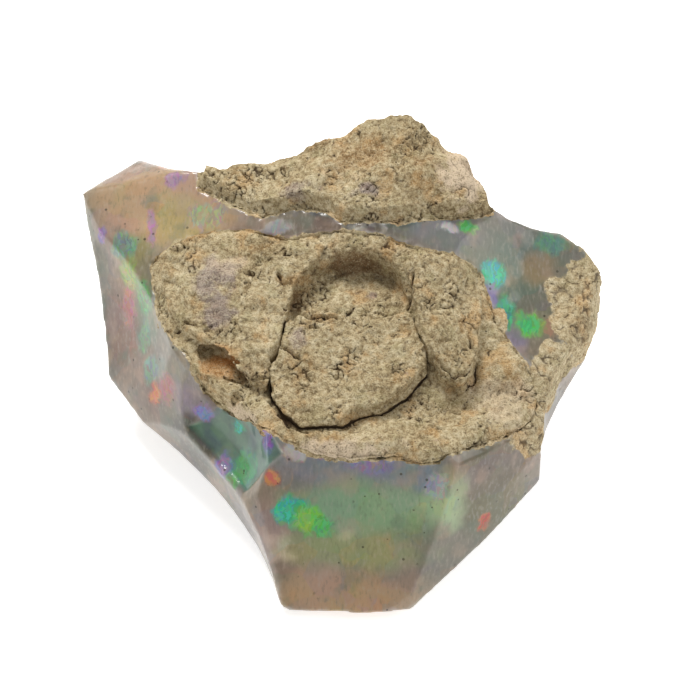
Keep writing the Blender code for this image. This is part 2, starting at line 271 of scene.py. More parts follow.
# %% [markdown]
# ## Rock grown onto opal
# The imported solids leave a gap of 0.3 mm between rock and opal, so that each can be made and moved alone.
# In the stone the two grew together.  A Shrinkwrap modifier would pull the whole rock flat onto the opal.
# Instead only the points that lie close to the opal are moved onto it, and a little into it, and the move
# fades out over the next half millimetre.  Points that face away from the opal stay where they are.

# %% Close the gap round each rock
BITE = 0.07  # how far the rock goes into the opal
GROWN_WITHIN = (0.4, 0.95)  # gap up to which a point is moved all the way, and from which it isn't moved
COVERED = 0.35  # gap under which a point of rock that faces the opal is hidden
SOCKET_REACH = 0.4  # gap under which a point of the opal is hidden by rock


def grow_onto_opal(piece):
    points = points_of(piece)
    places, gaps = nearest_on(opal_tree, points)
    away = (places - points) / np.maximum(gaps, 1e-6)[:, None]
    facing = (away * normals_of(piece)).sum(axis=1)
    share = (1 - ease(gaps, *GROWN_WITHIN)) * ease(facing, -0.85, -0.35)
    move_points(piece, points + away * (share * (gaps + BITE))[:, None])
    print(f"{piece.name}: {int((share > 0.5).sum())} points moved onto the opal")
    thin_hidden_side(piece, (gaps < COVERED) & (facing > 0.9))


grow_onto_opal(basin)
grow_onto_opal(ridge)
rock_gaps = np.minimum(
    nearest_on(surface_tree("basin_rock"), points_of(stone))[1],
    nearest_on(surface_tree("ridge_rock"), points_of(stone))[1],
)
thin_hidden_side(stone, rock_gaps < SOCKET_REACH)

# %% [markdown]
# ## Noise with a size
# Natural roughness has no drawing, but it has sizes.  Noise gives an even scatter of a chosen size.  The
# smooth kind makes swells.  The turbulent kind is folded at zero, so it makes rounded crumbs with sharp
# valleys between them, as packed grains have.  The seed shifts the noise, so that no two layers agree.

# %% Noise layers, one number for each point
def smooth_noise(points, size_mm, seed):
    """Soft lumps of about this size, from -1 to 1."""
    shift = Vector((seed * 17.3, seed * 5.1, seed * 29.7))
    return np.array([noise.noise(Vector(p) / size_mm + shift) for p in points])


def crumble(points, size_mm, layers, seed):
    """Rounded crumbs of about this size with sharp valleys between them, from 0 in a valley to about 1."""
    shift = Vector((seed * 7.9, seed * 13.3, seed * 19.1))
    return np.array([noise.turbulence(Vector(p) / size_mm + shift, layers, True) for p in points])


print("crumble sample:", crumble([(0, 0, 0), (0.4, 0, 0)], 1.5, 3, 1).round(3))

# %% [markdown]
# ## Fine cracks
# Fine cracks run through the rock as broken lines.  Cutting them with a Boolean would leave clean slots.
# Here each crack is drawn in plan, as the corners of a line, and the line is shaken by noise, because stone
# never cracks straight.  Points near it are pushed down later, and each keeps its distance from the line, so
# that the finish can draw the crack finer than the points lie.

# %% Draw the cracks as lines in plan
CRACKS = {
    "plug_split": ((-5.9, -4.9), (-5.2, -5.1), (-4.6, -5.7), (-4.0, -6.0)),
    "plug_crumb": ((-5.3, -1.7), (-4.1, -2.2), (-2.8, -2.7), (-1.2, -2.9)),
    "plug_hole": ((-3.4, -3.6), (-2.9, -3.6)),
    "slab_split": ((-10.2, -6.2), (-9.2, -6.6), (-8.2, -7.0), (-7.1, -7.1)),
    "slab_notch": ((-14.4, -1.9), (-13.6, -1.8), (-12.9, -2.2)),
    "slab_step": ((-6.0, 1.2), (-5.4, 0.4), (-4.9, 0.2)),
    "lump_back": ((4.9, -1.2), (5.3, -0.4), (5.2, 0.3)),
    "lump_edge": ((9.6, -4.2), (10.2, -5.2), (10.2, -6.4), (9.4, -7.3), (8.4, -7.3), (7.4, -6.8)),
    "lining_left": ((-6.6, -8.6), (-5.9, -9.9), (-4.9, -10.9), (-3.4, -11.6)),
    "lining_slit": ((8.2, -9.2), (8.9, -9.4)),
    "lining_front": ((6.8, -11.2), (7.6, -11.4)),
}
CRACK_DEPTH = 0.45
SHAKE = 0.35  # how far a line is shaken sideways
SHAKE_SIZE = 0.7


def line_distance(points, line):
    """How far each point lies from a line of straight stretches, in plan."""
    best = np.full(len(points), np.inf)
    for (ax, ay), (bx, by) in zip(line, line[1:]):
        dx, dy = bx - ax, by - ay
        along = np.clip(((points[:, 0] - ax) * dx + (points[:, 1] - ay) * dy) / (dx * dx + dy * dy), 0, 1)
        best = np.minimum(best, np.hypot(points[:, 0] - ax - along * dx, points[:, 1] - ay - along * dy))
    return best


def crack_distance(points, seed):
    """How far each point lies from the nearest shaken crack."""
    shaken = points.copy()
    shaken[:, 0] += SHAKE * smooth_noise(points, SHAKE_SIZE, seed)
    shaken[:, 1] += SHAKE * smooth_noise(points, SHAKE_SIZE, seed + 9)
    return np.min([line_distance(shaken, line) for line in CRACKS.values()], axis=0)


print(len(CRACKS), "cracks drawn,", CRACK_DEPTH, "mm deep")

# %% [markdown]
# ## The open crack round the plug
# The plug has cracked loose all the way round, but the crack is uneven: wide in places and almost shut in
# others.  The solids have one even gap.  Moving the plug would only widen one side of it, so both walls
# swell towards each other instead, each by its own uneven share of the gap, four tenths on average.

# %% Find the walls that face each other, and swell them
SWELL_REACH = 0.6  # widest gap that still counts as the crack
SHADED_WALL_REACH = 0.31  # gap under which a crack wall is painted in shade
WIDEST = 0.8  # a gap counts for no more than this
SWELL_SHARE = 0.4
UNEVEN = 0.14


def gap_to(cloud, points):
    """How far each point is from the nearest point of a cloud."""
    tree = KDTree(len(cloud))
    for i, p in enumerate(cloud):
        tree.insert(p, i)
    tree.balance()
    return np.array([tree.find(p)[2] for p in points])


def facing_wall(normals, gaps, reach):
    """1 on a steep wall that stands within this reach of the other piece, and 0 elsewhere."""
    return (1 - ease(gaps, reach, reach + 0.15)) * (1 - ease(normals[:, 2], 0.25, 0.7))


def swell(points, normals, gaps, seed):
    """How far a wall moves towards the other one."""
    share = SWELL_SHARE + UNEVEN * smooth_noise(points, 1.1, seed)
    return np.clip(gaps, 0, WIDEST) * share * facing_wall(normals, gaps, SWELL_REACH)


no_wall = np.zeros(len(ridge.data.vertices))
shaded_crack_walls = {ridge.name: no_wall}
swells = {ridge.name: no_wall}
for rock, other_rock, seed in ((basin, plug, 6), (plug, basin, 7)):
    rock_points = points_of(rock)
    rock_normals = normals_of(rock)
    gaps = gap_to(points_of(other_rock), rock_points)
    # Walls that nearly touch across the crack are later painted dark, as the shade inside it.
    shaded_crack_walls[rock.name] = facing_wall(rock_normals, gaps, SHADED_WALL_REACH)
    swells[rock.name] = swell(rock_points, rock_normals, gaps, seed)
    print(f"{rock.name}: {int((shaded_crack_walls[rock.name] > 0.5).sum())} points on a hidden wall")

# %% [markdown]
# ## The hollow under the slab
# Under the left slab the rock is scooped out, and fine rusty dust lines the scoop.  The solid has a pocket
# there with a raised rim.  Filling it by a fixed amount would lift the rim as well, so the points are
# drawn to one level instead, up from the floor and down from the rim, which leaves an open scoop.

# %% Line the hollow with dust
HOLLOW_CENTRE = (-10.6, -4.9)
HOLLOW_REACH = (3.4, 1.9)
HOLLOW_TURN = math.radians(-40)
DUST_LEVEL = 13.3
SLAB_FOOT = (13.9, 14.8)  # heights between which the dust fades out under the slab
SOCKET_TOP = (11.6, 12.2)  # heights between which it fades out over the socket


def hollow_share(points):
    """1 in the middle of the hollow, in plan, and 0 outside it."""
    x = points[:, 0] - HOLLOW_CENTRE[0]
    y = points[:, 1] - HOLLOW_CENTRE[1]
    along = x * math.cos(HOLLOW_TURN) + y * math.sin(HOLLOW_TURN)
    across = y * math.cos(HOLLOW_TURN) - x * math.sin(HOLLOW_TURN)
    return 1 - ease(np.hypot(along / HOLLOW_REACH[0], across / HOLLOW_REACH[1]), 0.3, 1.0)


def dust_fill(points, share):
    """How far each point of the hollow moves up or down to the level of the dust that lines it."""
    under_the_slab = 1 - ease(points[:, 2], *SLAB_FOOT)
    over_the_socket = ease(points[:, 2], *SOCKET_TOP)
    return share * under_the_slab * over_the_socket * (DUST_LEVEL - points[:, 2])


in_plan = hollow_share(points_of(basin)) > 0.5
print(int(in_plan.sum()), "points of the basin rock lie over or under the hollow")

# %% [markdown]
# ## Sandy grain
# The host rock is fine sandy ash set hard.  Seen close, it has lumps of about 1.7 mm, crumbs, grit of
# 0.4 mm, and open pits where grains fell out.  One noise would make it look like a sponge, so each of these
# is a layer with its own size and height.  Pits stay in patches, where the rock is weak.  How deep a point
# lies is kept for the finish, which paints shade into the valleys, the pits and the walls of the crack.

# %% Give each rock its lumps, crumbs, pits and cracks
GRAIN_SIZE = {"lump": 1.7, "crumb": 1.25, "grit": 0.42, "weak_place": 2.4, "pit": 0.6}
GRIT_SHARE = 0.35  # height of the grit beside that of the crumbs
PIT_DEPTH = 0.2
FAR_FROM_CRACKS = 9.0


def roughen(piece, lump_mm, crumb_mm, seed):
    """Sculpts a rock, and remembers on its points how deep each one lies, as painted shade."""
    points = points_of(piece)
    normals = normals_of(piece)
    upward = ease(normals[:, 2], 0.0, 0.4)
    lumps = smooth_noise(points, GRAIN_SIZE["lump"], seed)
    crumbs = crumble(points, GRAIN_SIZE["crumb"], 3, seed + 1)
    grit = crumble(points, GRAIN_SIZE["grit"], 2, seed + 2)
    weak_places = ease(smooth_noise(points, GRAIN_SIZE["weak_place"], seed + 3), 0.0, 0.35)
    pits = (1 - ease(crumble(points, GRAIN_SIZE["pit"], 1, seed + 5), 0.02, 0.1)) * weak_places * upward
    distance = crack_distance(points, seed + 4)
    cracks = (1 - ease(distance, 0.04, 0.22)) * upward
    hollow = hollow_share(points) * ease(normals[:, 2], -0.3, 0.0)
    smoother = 1 - 0.7 * hollow
    grains = crumb_mm * (crumbs - crumbs.mean()) + GRIT_SHARE * crumb_mm * (grit - grit.mean())
    push = (lump_mm * lumps + grains) * smoother * (1 - 0.7 * shaded_crack_walls[piece.name])
    push += swells[piece.name] - PIT_DEPTH * pits
    points += normals * push[:, None]
    points[:, 2] += dust_fill(points, hollow) - CRACK_DEPTH * cracks
    move_points(piece, points)
    # Painted shade: the valleys between crumbs and grit, the pits and the crack walls are kept as one number
    # that darkens the sand.
    valley_shade = (1 - ease(crumbs, 0.08, 0.3)) * 0.5 + (1 - ease(grit, 0.05, 0.3)) * 0.3
    keep_on_points(piece, "depth", np.clip(valley_shade * smoother + 0.8 * pits + shaded_crack_walls[piece.name], 0, 1))
    keep_on_points(piece, "crack", np.where(upward > 0.2, distance, FAR_FROM_CRACKS))
    print(f"{piece.name}: moved points by {push.min():.2f} to {push.max():.2f} mm")


roughen(basin, 0.2, 0.26, 1)
roughen(plug, 0.16, 0.22, 2)
roughen(ridge, 0.26, 0.15, 3)

# %% [markdown]
# ## Sandy crust on the opal
# Where the opal meets the rock, and over its right lobe, a thin sandy crust still sticks to it.  Painting it
# by hand needs an image.  Here it is worked out for every point, from how near the rock is and from a few
# named places, with noise that tears its edge.

# %% Lay the crust
CRUST_PLACES = {
    "right_lobe": ((20.4, 0.4, 13.6), (4.6, 5.8, 5.4)),
    "lobe_low": ((17.6, -5.0, 11.8), (3.4, 3.4, 4.2)),
    "notch_edge": ((15.2, -8.6, 11.0), (3.4, 3.8, 3.4)),
    "sandy_lump": ((12.0, -2.1, 15.3), (1.0, 1.9, 1.4)),
    "back_top": ((-8.0, 9.4, 18.8), (3.6, 1.3, 1.5)),
}
NEAR_ROCK = (0.08, 0.32)  # gap to the rock up to which crust always lies, and from which it need not


def crust_on(points, gaps):
    """How thick the sandy crust lies on each point of the opal, from 0 to 1."""
    torn_gaps = gaps + 0.3 * smooth_noise(points, 0.5, 33)
    wide = (1 - ease(torn_gaps, 0.0, 0.5)) * ease(smooth_noise(points, 1.8, 31), -0.1, 0.3)
    crust = np.maximum(1 - ease(gaps, *NEAR_ROCK), wide)
    for centre, radii in CRUST_PLACES.values():
        reach = np.linalg.norm((points - centre) / radii, axis=1)
        crust = np.maximum(crust, 1 - ease(reach + 0.3 * smooth_noise(points, 1.5, 32), 0.62, 1.15))
    return crust


stone_points = points_of(stone)
crust = crust_on(stone_points, gap_to(np.vstack([points_of(basin), points_of(ridge)]), stone_points))
print(f"crust on {100 * float((crust > 0.5).mean()):.0f}% of the opal")

# %% [markdown]
# ## The chip on the left
# On the left, below the rock, a flake has sprung off and left a shallow dark facet with six corners.  It
# could be cut as a solid, but it is only 0.3 mm deep.  So its outline is laid through its corners, and the
# points inside are pressed down, with a short slope at the rim.

# %% Outline the chip
CHIP_CORNERS = (
    (-12.9, -6.7, 7.7),
    (-10.4, -6.7, 10.4),
    (-6.1, -11.4, 12.6),
    (-5.2, -12.6, 11.6),
    (-8.4, -13.0, 7.0),
    (-10.9, -10.0, 6.9),
)
CHIP_DEPTH = 0.3
CHIP_REACH = 3.0  # how far from the plane of its corners the chip still counts


def inside_chip(points):
    """1 inside the chip's outline, seen straight on, and 0 outside it."""
    corners = np.array(CHIP_CORNERS)
    middle = corners.mean(axis=0)
    across, along, out = np.linalg.svd(corners - middle)[2]
    flat = np.column_stack(((points - middle) @ across, (points - middle) @ along))
    outline = np.column_stack(((corners - middle) @ across, (corners - middle) @ along))
    turn = np.sign(np.cross(outline[1] - outline[0], outline[2] - outline[1]))
    inside = np.full(len(points), np.inf)
    for a, b in zip(outline, np.roll(outline, -1, axis=0)):
        side = turn * np.cross(b - a, flat - a) / np.linalg.norm(b - a)
        inside = np.minimum(inside, side)
    near = np.abs((points - middle) @ out) < CHIP_REACH
    return ease(inside, -0.06, 0.1) * near


chip = inside_chip(stone_points)
print(f"chip on {100 * float(chip.mean()):.1f}% of the opal")

# %% [markdown]
# ## Edges that catch the light
# Where two broken faces of opal meet, the edge is thin and lets light through, so it looks pale, and that
# light is painted on here as a pale highlight.  Blender has a node for finding edges, but it works in the
# render alone.  Here each point is compared with the mean of its neighbours: on a flat face it lies among
# them, and on an edge it stands out.

# %% Find the edges
EDGE_BEND = (0.006, 0.016)  # how far a point stands out where an edge starts to show, and where it is sharp


def neighbour_mean(piece, values):
    """The mean of a number over the points that each point is joined to by an edge."""
    ends = np.empty(len(piece.data.edges) * 2, np.int32)
    piece.data.edges.foreach_get("vertices", ends)
    first, second = ends.reshape(-1, 2).T
    here = np.concatenate((first, second))
    there = np.concatenate((second, first))
    count = np.bincount(here, minlength=len(values))
    return np.bincount(here, weights=values[there], minlength=len(values)) / np.maximum(count, 1)


def outward_bend(piece, points, normals):
    """How far each point stands out from those round it, in millimetres: large along a sharp edge."""
    middle = np.column_stack([neighbour_mean(piece, column) for column in points.T])
    bend = ((points - middle) * normals).sum(axis=1)
    for _ in range(3):
        bend = neighbour_mean(piece, bend)
    return bend


stone_normals = normals_of(stone)
bend = outward_bend(stone, stone_points, stone_normals)
print("outward bend, 50, 90, 97 and 99.5%:", np.percentile(bend, (50, 90, 97, 99.5)).round(4), "mm")

# %% [markdown]
# ## The opal's own skin
# Opal breaks like thick glass, into hollow faces with faint ripples.  The hollow faces are in the solid, so
# the ripples, the chip and the rough crust are all that is left to sculpt.  They are added up into one push
# along each point's own direction, and the numbers that the finish needs are kept on the points.

# %% Ripple the faces, press the chip and roughen the crust
ripple = 0.05 * smooth_noise(stone_points, 3.4, 21) + 0.02 * smooth_noise(stone_points, 1.2, 22)
pock = 1 - ease(crumble(stone_points, 0.9, 1, 23), 0.02, 0.14)
crumbs = crumble(stone_points, 0.8, 2, 25) - 0.4
rough = 0.1 * smooth_noise(stone_points, 1.8, 24) + 0.1 * crumbs - 0.16 * pock
push = ripple + crust * (0.06 + rough) - CHIP_DEPTH * chip
move_points(stone, stone_points + stone_normals * push[:, None])
keep_on_points(stone, "crust", crust)
# Painted shade in the pits of the crust.
keep_on_points(stone, "depth", 0.8 * crust * pock)
keep_on_points(stone, "chip", chip)
# Painted highlight: how strongly each point lies on an edge, which the finish paints pale.
keep_on_points(stone, "edge", ease(bend, *EDGE_BEND) * (1 - crust))
print(f"{stone.name}: moved points by {push.min():.2f} to {push.max():.2f} mm")

# %% [markdown]
# ## Mixing finishes
# A material in Blender is a net of small steps.  Writing each step by hand is long, so a finish is mixed
# here with a few short helpers, named for what a painter does: place, mottle, blend, patch.  Everything is
# worked out from the place in the stone, so no image is needed and no seam can show.

# %% Helpers for mixing a finish
def paint(red, green, blue):
    """A colour picked from a paint chart (0 to 255) as the light values that Blender wants."""
    shares = (red / 255, green / 255, blue / 255)
    return tuple(((c + 0.055) / 1.055) ** 2.4 if c > 0.04 else c / 12.92 for c in shares)


class Finish:
    """A material under way.  Each helper adds a node and returns the output to use next."""

    def __init__(self, name):
        self.material = bpy.data.materials.new(name)
        self.material.use_nodes = True
        self.tree = self.material.node_tree
        self.shader = self.tree.nodes["Principled BSDF"]
        self.out = self.tree.nodes["Material Output"]
        where = self.add("TexCoord", {}, "Object")
        self.place = self.add("VectorMath", {0: where, "Scale": 1 / MM}, 0, operation="SCALE")

    def add(self, kind, inputs, output=0, **settings):
        node = self.tree.nodes.new("ShaderNode" + kind)
        for name, value in settings.items():
            setattr(node, name, value)
        for name, value in inputs.items():
            self.feed(node.inputs[name], value)
        return node.outputs[output]

    def feed(self, socket, value):
        """Links an output to a socket, or sets the socket to a plain value."""
        if isinstance(value, bpy.types.NodeSocket):
            self.tree.links.new(value, socket)
        elif isinstance(value, tuple) and len(value) == 3 and socket.type == "RGBA":
            socket.default_value = (*value, 1)
        else:
            socket.default_value = value

    def mottle(self, size_mm, detail=4, place=None, output=0, twist=0.0):
        """Cloudy noise from 0 to 1."""
        inputs = {"Vector": place or self.place, "Scale": 1 / size_mm, "Detail": detail, "Distortion": twist}
        return self.add("TexNoise", inputs, output)

    def grains(self, size_mm, output="Distance", place=None):
        """Voronoi cells: how far from a cell's middle, or the cell's own colour."""
        return self.add("TexVoronoi", {"Vector": place or self.place, "Scale": 1 / size_mm}, output)

    def step(self, value, low, high, top=1.0):
        """0 below low and top above high, with a soft edge.  Low may be above high."""
        inputs = {"Value": value, "From Min": low, "From Max": high, "To Max": top}
        return self.add("MapRange", inputs, 0, interpolation_type="SMOOTHSTEP")

    def sum(self, a, b):
        return self.add("Math", {0: a, 1: b}, 0, operation="ADD")

    def less(self, a, b):
        return self.add("Math", {0: a, 1: b}, 0, operation="SUBTRACT")

    def times(self, a, b):
        return self.add("Math", {0: a, 1: b}, 0, operation="MULTIPLY")

    def blend(self, share, under, over, kind="MIX"):
        return self.add("MixRGB", {"Fac": share, "Color1": under, "Color2": over}, 0, blend_type=kind)

    def ramp(self, value, stops):
        """Turns a number into a colour, by stops along a strip."""
        made = self.add("ValToRGB", {"Fac": value}).node
        strip = made.color_ramp.elements
        for at, colour in stops[1:-1]:
            strip.new(at).color = (*colour, 1)
        for end in (0, -1):
            strip[end].position = stops[end][0]
            strip[end].color = (*stops[end][1], 1)
        return made.outputs[0]

    def patch(self, centre, radii, place=None):
        """A soft egg-shaped patch round a place in the stone: 1 in its middle and 0 outside."""
        inputs = {"Vector": place or self.place, "Location": centre, "Scale": radii}
        moved = self.add("Mapping", inputs, 0, vector_type="TEXTURE")
        return self.add("TexGradient", {"Vector": moved}, 1, gradient_type="SPHERICAL")

    def stretch(self, place, turn, scale):
        """A place turned and squeezed, so that a noise made from it is drawn out into streaks."""
        return self.add("Mapping", {"Vector": place, "Rotation": turn, "Scale": scale}, 0)

    def wander(self, size_mm, reach_mm, detail):
        """The place in the stone, pushed about by noise, so that patches get uneven edges."""
        drift = self.mottle(size_mm, detail, output="Color")
        drift = self.add("VectorMath", {0: drift, 1: (0.5, 0.5, 0.5)}, 0, operation="SUBTRACT")
        reach = (2 * reach_mm, 2 * reach_mm, 2 * reach_mm)
        return self.add("VectorMath", {0: drift, 1: reach, 2: self.place}, 0, operation="MULTIPLY_ADD")

    def point_number(self, name):
        return self.add("Attribute", {}, "Fac", attribute_name=name)

    def bump(self, height, depth_mm, strength):
        return self.add("Bump", {"Height": height, "Distance": depth_mm * MM, "Strength": strength}, 0)


print("finish helpers ready; mid grey is", round(paint(128, 128, 128)[0], 3))

# %% [markdown]
# ## The host rock's paints, stains and painted shade
# The rock is tan, but no two grains of it are the same tan.  Some places are stained: purple-grey where the
# rock has soaked up minerals, rust in the hollow under the left slab, and cream where the lip is worn clean.
# Brown is painted shade, on the back and left walls and the floor of the recess and on the front of the
# left slab.  Each stain or patch of shade is a soft patch with a place, a reach, a paint and a strength,
# because a list like this is easy to adjust one line at a time.

# %% Name the rock's paints, stains and painted shade
SAND = {
    "shade": paint(116, 98, 68),
    "tan": paint(174, 156, 120),
    "pale": paint(210, 196, 162),
    # The pit paint is the darkest: painted shade in valleys, pits and crack walls, and the line of each fine
    # crack.
    "pit": paint(66, 50, 34),
    "purple": paint(140, 126, 130),
    "rust": paint(200, 132, 64),
    "shadow_brown": paint(104, 74, 46),
    "cream": paint(214, 194, 168),
    "ochre": paint(196, 152, 96),
    "olive": paint(150, 146, 104),
}
STAINS_AND_SHADE = {
    "slab_purple": ((-11.2, 1.6, 16.8), (3.4, 3.0, 3.0), "purple", 0.62),
    "slab_purple_low": ((-10.8, -1.4, 16.2), (2.6, 2.4, 3.0), "purple", 0.6),
    "plug_purple": ((-4.1, -4.3, 15.7), (1.8, 1.8, 2.0), "purple", 0.5),
    "recess_purple": ((1.8, 0.2, 15.4), (1.6, 0.9, 1.5), "purple", 0.7),
    "back_purple": ((1.4, 6.6, 22.0), (2.1, 1.4, 2.0), "purple", 0.7),
    "back_left_purple": ((-4.0, 7.8, 21.0), (3.6, 1.2, 2.0), "purple", 0.5),
    "ridge_warm": ((3.0, 10.0, 22.0), (10.0, 5.0, 4.0), "rust", 0.16),
    "ridge_pale": ((9.6, 9.0, 22.0), (4.0, 5.0, 4.4), "cream", 0.9),
    "slab_pale": ((-9.6, 2.6, 17.2), (3.6, 1.6, 2.4), "cream", 0.45),
    # The next four brown patches are painted shade: on the back and left walls and the floor of the recess,
    # and on the front of the left slab.
    "recess_wall_shadow": ((0.4, 2.9, 17.2), (5.2, 1.7, 2.6), "shadow_brown", 0.75),
    "recess_floor_shade": ((-0.2, 0.4, 15.0), (5.4, 3.0, 2.2), "shadow_brown", 0.42),
    "recess_left_wall_shade": ((-4.6, 0.2, 16.0), (1.2, 2.4, 1.8), "shadow_brown", 0.6),
    "slab_front_shade": ((-8.6, -6.2, 13.6), (2.0, 1.4, 2.0), "shadow_brown", 0.45),
    "lip_left": ((-13.2, -5.2, 11.5), (2.4, 1.6, 2.0), "cream", 0.8),
    "lip_front_left": ((-9.0, -9.2, 11.8), (4.2, 2.4, 2.6), "cream", 0.8),
    "lip_front": ((-0.6, -12.9, 12.2), (8.4, 1.7, 2.6), "cream", 0.8),
    "apron": ((12.6, -8.0, 12.6), (4.4, 4.6, 3.4), "cream", 0.4),
    "hollow_rust": ((-10.7, -4.8, 13.2), (3.4, 2.2, 3.0), "rust", 0.4),
    "hollow_wall": ((-10.3, -4.4, 13.5), (2.4, 1.1, 1.0), "rust", 0.6),
}
print(len(SAND), "paints and", len(STAINS_AND_SHADE), "stains_and_shade")

# %% [markdown]
# ## The colour of sand
# Sand is never one colour from near.  Under everything lie broad clouds and speckle, from shade to pale.
# Over them come warm and olive drifts, then the stains and the brown painted shade, and then dark and pale
# grit, so that a stained grain is still a grain.  Tiny pits are painted dark, as the shade inside them.
# The valleys, pits and crack walls that were kept on the points get the darkest painted shade.  The same
# sand covers the rock and the crust on the opal, so it is one function.

# %% Mix the sand
SAND_SIZE = {
    "clouds": 4.5,
    "weak_places": 2.6,
    "warmth": 1.9,
    "ragged": 1.3,
    "speckle": 0.4,
    "dots": 0.34,
    "grit": 0.13,
}
TORN = 1.4  # how strongly noise tears a stain's edge
STAIN_EDGE = (0.98, 1.4)


def sand_colours(finish, depth, stains_and_shade=()):
    """The sandy colour of the host rock and of the crust on the opal, with its painted shade, and a height
    for its fine grit.
    """
    ragged = finish.mottle(SAND_SIZE["ragged"], 8)
    clouds = finish.mottle(SAND_SIZE["clouds"], 3)
    speckle = finish.mottle(SAND_SIZE["speckle"], 7)
    grit = finish.mottle(SAND_SIZE["grit"], 4)
    tone = finish.sum(finish.times(clouds, 0.35), finish.times(speckle, 0.65))
    colour = finish.ramp(tone, [(0.34, SAND["shade"]), (0.48, SAND["tan"]), (0.64, SAND["pale"])])
    warmth = finish.mottle(SAND_SIZE["warmth"], 4)
    colour = finish.blend(finish.step(warmth, 0.52, 0.68, 0.45), colour, SAND["ochre"])
    colour = finish.blend(finish.step(warmth, 0.46, 0.32, 0.25), colour, SAND["olive"])
    for centre, radii, tint, strength in stains_and_shade:
        spot = finish.sum(finish.patch(centre, radii), finish.times(ragged, TORN))
        colour = finish.blend(finish.step(spot, *STAIN_EDGE, strength), colour, SAND[tint])
    colour = finish.blend(finish.step(grit, 0.47, 0.36, 0.6), colour, SAND["shade"])
    colour = finish.blend(finish.step(grit, 0.55, 0.66, 0.5), colour, SAND["pale"])
    # Tiny pits: bumped down below, and painted dark as the shade inside them.
    dots = finish.step(finish.mottle(SAND_SIZE["dots"], 2), 0.33, 0.27)
    specks = finish.times(dots, finish.step(finish.mottle(SAND_SIZE["weak_places"], 3), 0.42, 0.58))
    colour = finish.blend(finish.times(specks, 0.8), colour, SAND["pit"])
    # Painted shade: the number kept on the points darkens valleys, pits and crack walls.
    colour = finish.blend(finish.step(depth, 0.2, 1.0, 0.95), colour, SAND["pit"])
    height = finish.less(finish.sum(speckle, grit), finish.times(specks, 0.8))
    return colour, height


print("the sand is mixed from", len(SAND_SIZE), "sizes of noise")

# %% [markdown]
# ## The host rock's finish
# Dry sandy rock is dull, and its finest grit is smaller than the spacing of the skin's points.  More points
# would make the file heavy, so the grit is a bump, which bends the light without moving the surface.  The
# fine cracks are drawn here too, in the darkest paint, from the distance that every point kept.

# %% Finish the three rocks
DULL = 0.92
FAINT_SHINE = 0.2
CRACK_EDGE = (0.2, 0.12)  # distance from a crack's line where its dark starts, and where it is full


def rock_finish(name):
    finish = Finish(name)
    # The sand carries the painted shade kept on the points, and the brown painted shade among the stains.
    colour, height = sand_colours(finish, finish.point_number("depth"), STAINS_AND_SHADE.values())
    shaken = finish.sum(finish.point_number("crack"), finish.times(finish.mottle(0.3, 3), 0.16))
    colour = finish.blend(finish.step(shaken, *CRACK_EDGE, 0.95), colour, SAND["pit"])
    finish.feed(finish.shader.inputs["Base Color"], colour)
    finish.feed(finish.shader.inputs["Normal"], finish.bump(height, 0.14, 0.9))
    finish.shader.inputs["Roughness"].default_value = DULL
    finish.shader.inputs["Specular IOR Level"].default_value = FAINT_SHINE
    print(f"{name}: {len(finish.tree.nodes)} nodes")
    return finish.material


for rock in (basin, plug, ridge):
    rock.data.materials.append(rock_finish(rock.name.replace("_grown", "_sand")))

# %% [markdown]
# ## The opal's body
# The body of the opal is milky, and its tint drifts from face to face: warm at the tip, green and olive in
# front, grey in the strip between the rocks.  A plain noise would put these tints anywhere, so each is a
# large soft patch at its own place.  The place is pushed about by noise first, so that no patch shows its
# egg shape.

